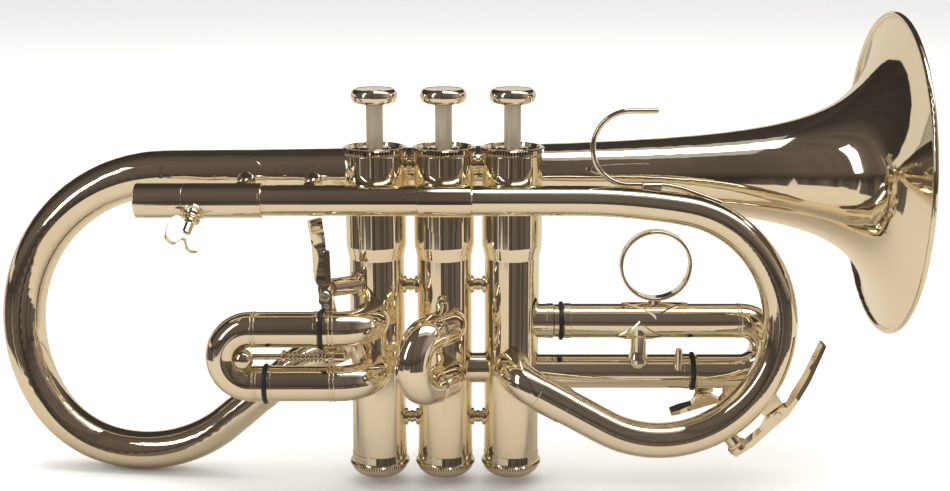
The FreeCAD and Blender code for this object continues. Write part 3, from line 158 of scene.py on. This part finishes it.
# ---------------------------------------------------------------- materials
PLATE = (0.875, 0.815, 0.68)
WARM_PLATE = shade(PLATE, (0.98, 0.955, 0.90))
# Painted shade: the plate colour that corners and creases are painted darker towards.
SHADED_PLATE = shade(PLATE, (0.84, 0.78, 0.66))
# Painted shade: the dark colour that the grooves of the knurling are painted towards.
GROOVE_SHADE = (0.30, 0.24, 0.16)
CORNER_REACH = 3.5 * MM
KNURL_REACH = 0.7 * MM
LINE_DEPTH = 0.004 * MM
# Lines to the metre along each axis: drawn tubes lie along X, and casings stand along Z.
DRAWN_LINES = (14, 1800, 1800)
HONED_LINES = (1800, 1800, 26)
# Mirror bounces after which a plate glows, in place of the bounces that a render leaves out.
LAST_BOUNCE = 2.5
GLOW = (0.62, 0.55, 0.42)
GLOW_POWER = 0.45
BORE_GLOW = 0.05


def plate_material(name, wave=0.07 * MM, polish=0.04, lines=None, groove_shade_reach=0.0, glow=GLOW_POWER):
    """Buffed and lacquered plating: faint orange peel, smears, rougher corners with painted shade,
    painted shade in grooves when asked, and a painted glow after deep mirror bounces.
    """
    s = Shader(name)
    smear = s.span(s.noise(34, 4, 0.6), 0.52, 0.78)
    speck = s.noise(2600, 2)
    corner = s.span(s.crevice(CORNER_REACH), 0.35, 0.95)
    drift = s.span(s.noise(16, 2), 0.35, 0.7)
    # Painted shade: corners found by ambient occlusion are painted darker.
    colour = s.mix(corner, SHADED_PLATE, s.mix(drift, PLATE, WARM_PLATE))
    # Painted shade: tight grooves, found by ambient occlusion, are painted darker.
    if groove_shade_reach:
        colour = s.mix(s.span(s.crevice(groove_shade_reach), 0.45, 0.95), GROOVE_SHADE, colour)
    rough = s.math("MULTIPLY_ADD", smear, 0.05, polish)
    rough = s.math("MULTIPLY_ADD", speck, 0.012, rough)
    rough = s.math("ADD", rough, s.span(corner, 0.0, 1.0, 0.12, 0.0))
    bounces = s.add("ShaderNodeLightPath").outputs["Glossy Depth"]
    deep = s.math("GREATER_THAN", bounces, LAST_BOUNCE)
    normal = s.bump(s.noise(34, 2, 0.4), wave)
    if lines:
        normal = s.bump(s.noise(1.0, 3, 0.6, s.stretch(lines)), LINE_DEPTH, normal)
    s.set(Base_Color=colour, Metallic=1.0, Roughness=rough, Normal=normal,
          Coat_Weight=0.18, Coat_Roughness=0.03, Coat_IOR=1.45,
          Emission_Color=(*GLOW, 1), Emission_Strength=s.math("MULTIPLY", deep, glow))
    return s.material


def satin_material():
    """Turned and brushed stems: fine rings round the axis, soft broad highlight."""
    s = Shader("satin_stems")
    rings = s.noise(1.0, 3, 0.7, s.stretch((90, 90, 5200)))
    streak = s.noise(1.0, 2, 0.5, s.stretch((700, 700, 60)))
    tone = s.mix(s.span(streak, 0.3, 0.7), (0.50, 0.43, 0.31), (0.62, 0.55, 0.41))
    s.set(Base_Color=tone, Metallic=0.45, Anisotropic=0.5,
          Roughness=s.span(rings, 0.3, 0.7, 0.26, 0.42), Normal=s.bump(rings, 0.01 * MM))
    return s.material


def steel_material():
    """Drawn steel with a faint grain."""
    s = Shader("bright_steel")
    grain = s.noise(1500, 3)
    s.set(Base_Color=s.mix(grain, (0.60, 0.56, 0.48), (0.74, 0.71, 0.64)), Metallic=1.0,
          Roughness=s.span(grain, 0.3, 0.7, 0.16, 0.28), Normal=s.bump(grain, 0.005 * MM))
    return s.material


def rubber_material():
    """Black rubber rings: matt, slightly dusty, with moulding grain."""
    s = Shader("ring_rubber")
    grain = s.noise(2400, 4)
    dust = s.span(s.noise(300, 3), 0.55, 0.8)
    s.set(Base_Color=s.mix(dust, (0.012, 0.012, 0.013), (0.055, 0.052, 0.048)),
          Roughness=s.span(grain, 0.3, 0.7, 0.42, 0.62), Normal=s.bump(grain, 0.03 * MM))
    return s.material


def nylon_material():
    """Off-white moulded nylon."""
    s = Shader("guide_nylon")
    cloud = s.noise(400, 3)
    s.set(Base_Color=s.mix(cloud, (0.74, 0.72, 0.66), (0.84, 0.83, 0.78)), Roughness=0.42,
          Subsurface_Weight=0.1, Subsurface_Radius=(MM, MM, MM),
          Normal=s.bump(s.noise(1800, 2), 0.01 * MM))
    return s.material


def felt_material():
    """Pressed dark felt with short loose fibres."""
    s = Shader("valve_felt")
    fibres = s.noise(5200, 5, 0.8)
    s.set(Base_Color=s.mix(fibres, (0.02, 0.02, 0.022), (0.11, 0.105, 0.10)), Roughness=0.95,
          Sheen_Weight=0.5, Sheen_Roughness=0.6, Normal=s.bump(fibres, 0.1 * MM))
    return s.material


def cork_material():
    """Natural cork: pale cells with darker grains and pits."""
    s = Shader("key_cork")
    cells = s.add("ShaderNodeTexVoronoi")
    s.link(s.place, cells.inputs["Vector"])
    cells.inputs["Scale"].default_value = 1900
    depth = cells.outputs["Distance"]
    grain = s.span(s.noise(900, 4, 0.7), 0.35, 0.7)
    tone = s.mix(grain, (0.55, 0.36, 0.19), (0.74, 0.56, 0.35))
    s.set(Base_Color=s.mix(s.span(depth, 0.0, 0.35), (0.28, 0.17, 0.09), tone),
          Roughness=0.85, Normal=s.bump(depth, 0.08 * MM))
    return s.material


def paint(material, *names):
    """Gives CAD nodes a material."""
    for name in names:
        data = NODES[name].data
        data.materials.clear()
        data.materials.append(material)


def each_valve(*stems):
    """Node names that end in a valve's number."""
    return [f"{stem}_{number}" for stem in stems for number in VALVES]


STEEL = steel_material()
paint(plate_material("champagne_plate"), *NODES)
paint(plate_material("drawn_tube_plate", lines=DRAWN_LINES),
      *[name for name in NODES if name.endswith("_tubes")],
      "leadpipe", "receiver_clamp", "tube_ferrules")
# These two are open at an end, and an open bore is dark inside.
paint(plate_material("receiver_plate", lines=DRAWN_LINES, glow=BORE_GLOW), "mouthpiece_receiver")
paint(plate_material("bell_plate", glow=BORE_GLOW), "bell")
paint(plate_material("honed_casing_plate", lines=HONED_LINES, wave=0.04 * MM),
      *each_valve("valve_casing"))
# The caps' knurling gets painted shade in its grooves.
paint(plate_material("knurled_cap_plate", polish=0.02, groove_shade_reach=KNURL_REACH),
      *each_valve("top_cap", "bottom_cap"))
paint(satin_material(), *each_valve("piston"))
paint(felt_material(), *each_valve("piston_felts"))
paint(STEEL, "link_spring", "trigger_screws")
paint(nylon_material(), "valve_guides")
paint(rubber_material(), "slide_bumpers", "first_slide_bumper", "third_slide_bumper")
paint(cork_material(), "front_water_key_cork", "third_water_key_cork")


# ---------------------------------------------------------------- valve springs
SPRING_WIRE = 0.4 * MM      # the wire's radius
SPRING_TURNS = 7
TURN_STEPS = 36
WIRE_SIDES = 10


def coil_mesh(name, foot, radius, climb):
    """A round wire wound upwards, with flat ends; foot is the coil's lowest middle point."""
    steps = SPRING_TURNS * TURN_STEPS
    rise = climb / (math.tau * SPRING_TURNS)
    corners, faces = [], []
    for step in range(steps + 1):
        angle = math.tau * step / TURN_STEPS
        out = Vector((math.cos(angle), math.sin(angle), 0))
        along = Vector((-radius * math.sin(angle), radius * math.cos(angle), rise)).normalized()
        up = out.cross(along)
        middle = foot + out * radius + Vector((0, 0, SPRING_WIRE + climb * step / steps))
        for side in range(WIRE_SIDES):
            tilt = math.tau * side / WIRE_SIDES
            corners.append(middle + (out * math.cos(tilt) + up * math.sin(tilt)) * SPRING_WIRE)
    for step in range(steps):
        for side in range(WIRE_SIDES):
            a = step * WIRE_SIDES + side
            b = step * WIRE_SIDES + (side + 1) % WIRE_SIDES
            faces.append((a, a + WIRE_SIDES, b + WIRE_SIDES, b))
    faces.append(tuple(range(WIRE_SIDES)))
    faces.append(tuple(reversed(range(steps * WIRE_SIDES, (steps + 1) * WIRE_SIDES))))
    mesh = bpy.data.meshes.new(name)
    mesh.from_pydata(corners, [], faces)
    for face in mesh.polygons:
        face.use_smooth = face.loop_total == 4
    mesh.materials.append(STEEL)
    return mesh


def valve_spring(number):
    """A valve spring coil on its fixed guide, in place of the CAD spring."""
    node = f"valve_spring_{number}"
    low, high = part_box(node)
    foot = Vector(((low[0] + high[0]) / 2, (low[1] + high[1]) / 2, low[2]))
    height = high[2] - low[2]
    radius = (high[0] - low[0]) / 2 - SPRING_WIRE
    mesh = coil_mesh(f"coil_{number}", foot, radius, height - 2 * SPRING_WIRE)
    spring = bpy.data.objects.new(f"valve_spring_coil_{number}", mesh)
    bpy.context.scene.collection.objects.link(spring)
    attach(spring, "horn")
    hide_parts(node)
    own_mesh(spring)


for number in VALVES:
    valve_spring(number)


# ---------------------------------------------------------------- studio
# Mirrors see a painted reflection on the floor: a lit sheet, and past its edge a dim room. Each row
# is a sector of mirrored directions, as two turns to the right of straight towards the camera, and
# how far below level the sheet starts there, all in radians. Where rows overlap, their amounts add
# up.
SHEET_EDGE = (
    (-0.26, 1.30, 0.315),
    (-0.98, -0.26, 0.228),
    (-0.80, -0.64, -0.02),
    (-2.0, -0.98, 0.29),
)
SECTOR_BLUR = 0.03
SHEET_BLUR = 0.02
# Painted reflection: the floor's colours that only mirrors see, a lit sheet and the bars of a dim
# room.
SHEET = (0.46, 0.40, 0.32)
ROOM_BARS = ((0.030, 0.024, 0.021), (0.098, 0.077, 0.064))
FLOOR_TONES = ((0.88, 0.875, 0.865), (0.91, 0.905, 0.895))
FLOOR_HALF = 9.0
FLOOR_GAP = 0.5 * MM

# The room's colours from level on the camera's side (0), over the top, to level behind (1).
ROOM_RAMP = (
    (0.0, (0.060, 0.048, 0.039)),
    (0.08, (0.120, 0.095, 0.080)),
    (0.30, (0.138, 0.110, 0.094)),
    (0.50, (0.105, 0.085, 0.071)),
    (0.62, (0.052, 0.044, 0.038)),
    (1.0, (0.036, 0.031, 0.028)),
)
# A bright window on the right: where it starts and is full, as a direction's X, and its power.
WINDOW_START, WINDOW_FULL, WINDOW_POWER = 0.55, 0.98, 2.2
# Height of the pale backdrop behind, as a direction's Z; it is lower to the left.
WALL_TOP = 0.265
WALL_SLOPE = 0.19
WALL = (0.76, 0.67, 0.54)
CAMERA_WHITE = (0.97, 0.968, 0.96)

# Name, place, what it points at, width and depth, power in watts, seen in mirrors.
LAMPS = (
    ("overhead_box", (0.97, -0.10, 1.1), (0.97, -0.10, 0.0), (1.8, 0.38), 7.0, True),
    ("overhead_halo", (1.07, -0.12, 1.12), (1.07, -0.12, 0.0), (1.9, 0.90), 2.2, True),
    ("side_lamp", (-0.70, -0.62, 0.55), (0.15, 0.0, 0.0), (0.20, 0.85), 1.7, True),
    ("top_fill", (0.1, 0.3, 1.6), (0.12, 0.0, 0.0), (1.6, 1.2), 20.0, False),
)
LAMP_TINT = (1, 0.985, 0.95)

EYE = (0.1232, -0.505, 0.102)
EYE_TILT = math.radians(76.8)
LENS = 54.57
LENS_SHIFT = -0.0058


def floor_material():
    """Pale to the camera; to mirrors a painted reflection of a lit sheet, and past its edge bars of a
    dim room.
    """
    s = Shader("pale_floor")
    ray = s.add("ShaderNodeSeparateXYZ")
    s.link(s.add("ShaderNodeNewGeometry").outputs["Incoming"], ray.inputs[0])
    turn = s.math("ARCTAN2", s.math("MULTIPLY", ray.outputs["X"], -1.0), ray.outputs["Y"])
    drop = s.math("ARCSINE", ray.outputs["Z"])
    edge = 0.0
    for left, right, amount in SHEET_EDGE:
        inside = s.math("MULTIPLY", s.span(turn, left, left + SECTOR_BLUR),
                        s.span(turn, right - SECTOR_BLUR, right, 1.0, 0.0))
        edge = s.math("MULTIPLY_ADD", inside, amount, edge)
    sheet = s.span(s.math("SUBTRACT", drop, edge), 0.0, SHEET_BLUR)
    bars = s.add("ShaderNodeTexNoise", noise_dimensions="1D")
    s.link(turn, bars.inputs["W"])
    bars.inputs["Scale"].default_value = 7.0
    bars.inputs["Detail"].default_value = 3.0
    room = s.mix(s.span(bars.outputs["Fac"], 0.38, 0.62), *ROOM_BARS)
    # Painted reflection: mirrors see these colours in place of the pale floor.
    mirrored = s.mix(sheet, room, SHEET)
    in_mirror = s.add("ShaderNodeLightPath").outputs["Is Glossy Ray"]
    s.set(Base_Color=s.mix(in_mirror, s.mix(s.noise(30, 3), *FLOOR_TONES), mirrored),
          Roughness=0.7, Specular_IOR_Level=0.15)
    return s.material


def sheet_floor():
    """A wide floor just under the instrument."""
    low = CAD_BOX[0].z - FLOOR_GAP
    corners = [(x * FLOOR_HALF, y * FLOOR_HALF, low) for x, y in ((-1, -1), (1, -1), (1, 1), (-1, 1))]
    mesh = bpy.data.meshes.new("floor")
    mesh.from_pydata(corners, [], [(0, 1, 2, 3)])
    mesh.materials.append(floor_material())
    floor = bpy.data.objects.new("floor", mesh)
    bpy.context.scene.collection.objects.link(floor)


def studio_world():
    """White for the camera; for mirrors a pale backdrop behind and a dim room in front."""
    world = bpy.data.worlds.new("studio")
    world.use_nodes = True
    bpy.context.scene.world = world
    tree = world.node_tree

    def add(kind, **settings):
        node = tree.nodes.new(kind)
        for key, value in settings.items():
            setattr(node, key, value)
        return node

    def calc(operation, a, b=0.0):
        node = add("ShaderNodeMath", operation=operation)
        for socket, value in zip(node.inputs, (a, b)):
            if isinstance(value, bpy.types.NodeSocket):
                tree.links.new(value, socket)
            else:
                socket.default_value = value
        return node.outputs[0]

    way = add("ShaderNodeSeparateXYZ")
    tree.links.new(add("ShaderNodeTexCoord").outputs["Generated"], way.inputs[0])
    front = calc("MULTIPLY", way.outputs["Y"], -1.0)

    ramp = add("ShaderNodeValToRGB")
    lift = calc("DIVIDE", calc("ARCTAN2", way.outputs["Z"], front), math.pi)
    tree.links.new(lift, ramp.inputs[0])
    for place, _ in ROOM_RAMP[1:-1]:
        ramp.color_ramp.elements.new(place)
    for stop, (_, colour) in zip(ramp.color_ramp.elements, ROOM_RAMP):
        stop.color = (*colour, 1)

    panels = add("ShaderNodeTexNoise", noise_dimensions="1D")
    tree.links.new(calc("ARCTAN2", way.outputs["X"], front), panels.inputs["W"])
    panels.inputs["Scale"].default_value = 3.2
    panels.inputs["Detail"].default_value = 1.5
    streak = calc("ADD", calc("MULTIPLY", panels.outputs["Fac"], 1.1), 0.45)
    window = add("ShaderNodeMapRange", interpolation_type="SMOOTHSTEP")
    tree.links.new(way.outputs["X"], window.inputs["Value"])
    window.inputs["From Min"].default_value = WINDOW_START
    window.inputs["From Max"].default_value = WINDOW_FULL
    window.inputs["To Max"].default_value = WINDOW_POWER
    lit = add("ShaderNodeVectorMath", operation="SCALE")
    tree.links.new(ramp.outputs[0], lit.inputs[0])
    tree.links.new(calc("ADD", streak, window.outputs[0]), lit.inputs["Scale"])

    leftward = calc("MINIMUM", way.outputs["X"], 0.0)
    top = calc("ADD", calc("MULTIPLY", leftward, WALL_SLOPE), WALL_TOP)
    on_wall = calc("MULTIPLY", calc("LESS_THAN", way.outputs["Z"], top),
                   calc("GREATER_THAN", way.outputs["Y"], 0.0))
    room = add("ShaderNodeMix", data_type="RGBA")
    tree.links.new(on_wall, room.inputs[0])
    tree.links.new(lit.outputs[0], room.inputs[6])
    room.inputs[7].default_value = (*WALL, 1)

    pick = add("ShaderNodeMix", data_type="RGBA")
    tree.links.new(add("ShaderNodeLightPath").outputs["Is Glossy Ray"], pick.inputs[0])
    pick.inputs[6].default_value = (*CAMERA_WHITE, 1)
    tree.links.new(room.outputs[2], pick.inputs[7])
    tree.links.new(pick.outputs[2], tree.nodes["Background"].inputs["Color"])


def soft_light(name, place, aim, size, power, in_mirrors):
    """A rectangular softbox that the camera doesn't see."""
    data = bpy.data.lights.new(name, "AREA")
    data.shape = "RECTANGLE"
    data.size, data.size_y = size
    data.energy = power
    data.color = LAMP_TINT
    lamp = bpy.data.objects.new(name, data)
    bpy.context.scene.collection.objects.link(lamp)
    lamp.location = place
    lamp.rotation_euler = (Vector(aim) - Vector(place)).to_track_quat("-Z", "Y").to_euler()
    lamp.visible_camera = False
    lamp.visible_glossy = in_mirrors


def camera():
    """In front of the instrument and a little above it, looking slightly down."""
    data = bpy.data.cameras.new("camera")
    data.sensor_width = 36
    data.lens = LENS
    data.shift_x = LENS_SHIFT
    data.clip_start = 0.01
    data.clip_end = 60
    eye = bpy.data.objects.new("camera", data)
    bpy.context.scene.collection.objects.link(eye)
    eye.location = EYE
    eye.rotation_euler = (EYE_TILT, 0, 0)
    bpy.context.scene.camera = eye


sheet_floor()
studio_world()
for lamp in LAMPS:
    soft_light(*lamp)
camera()
view = bpy.context.scene.view_settings
view.view_transform = "Standard"
view.look = "None"
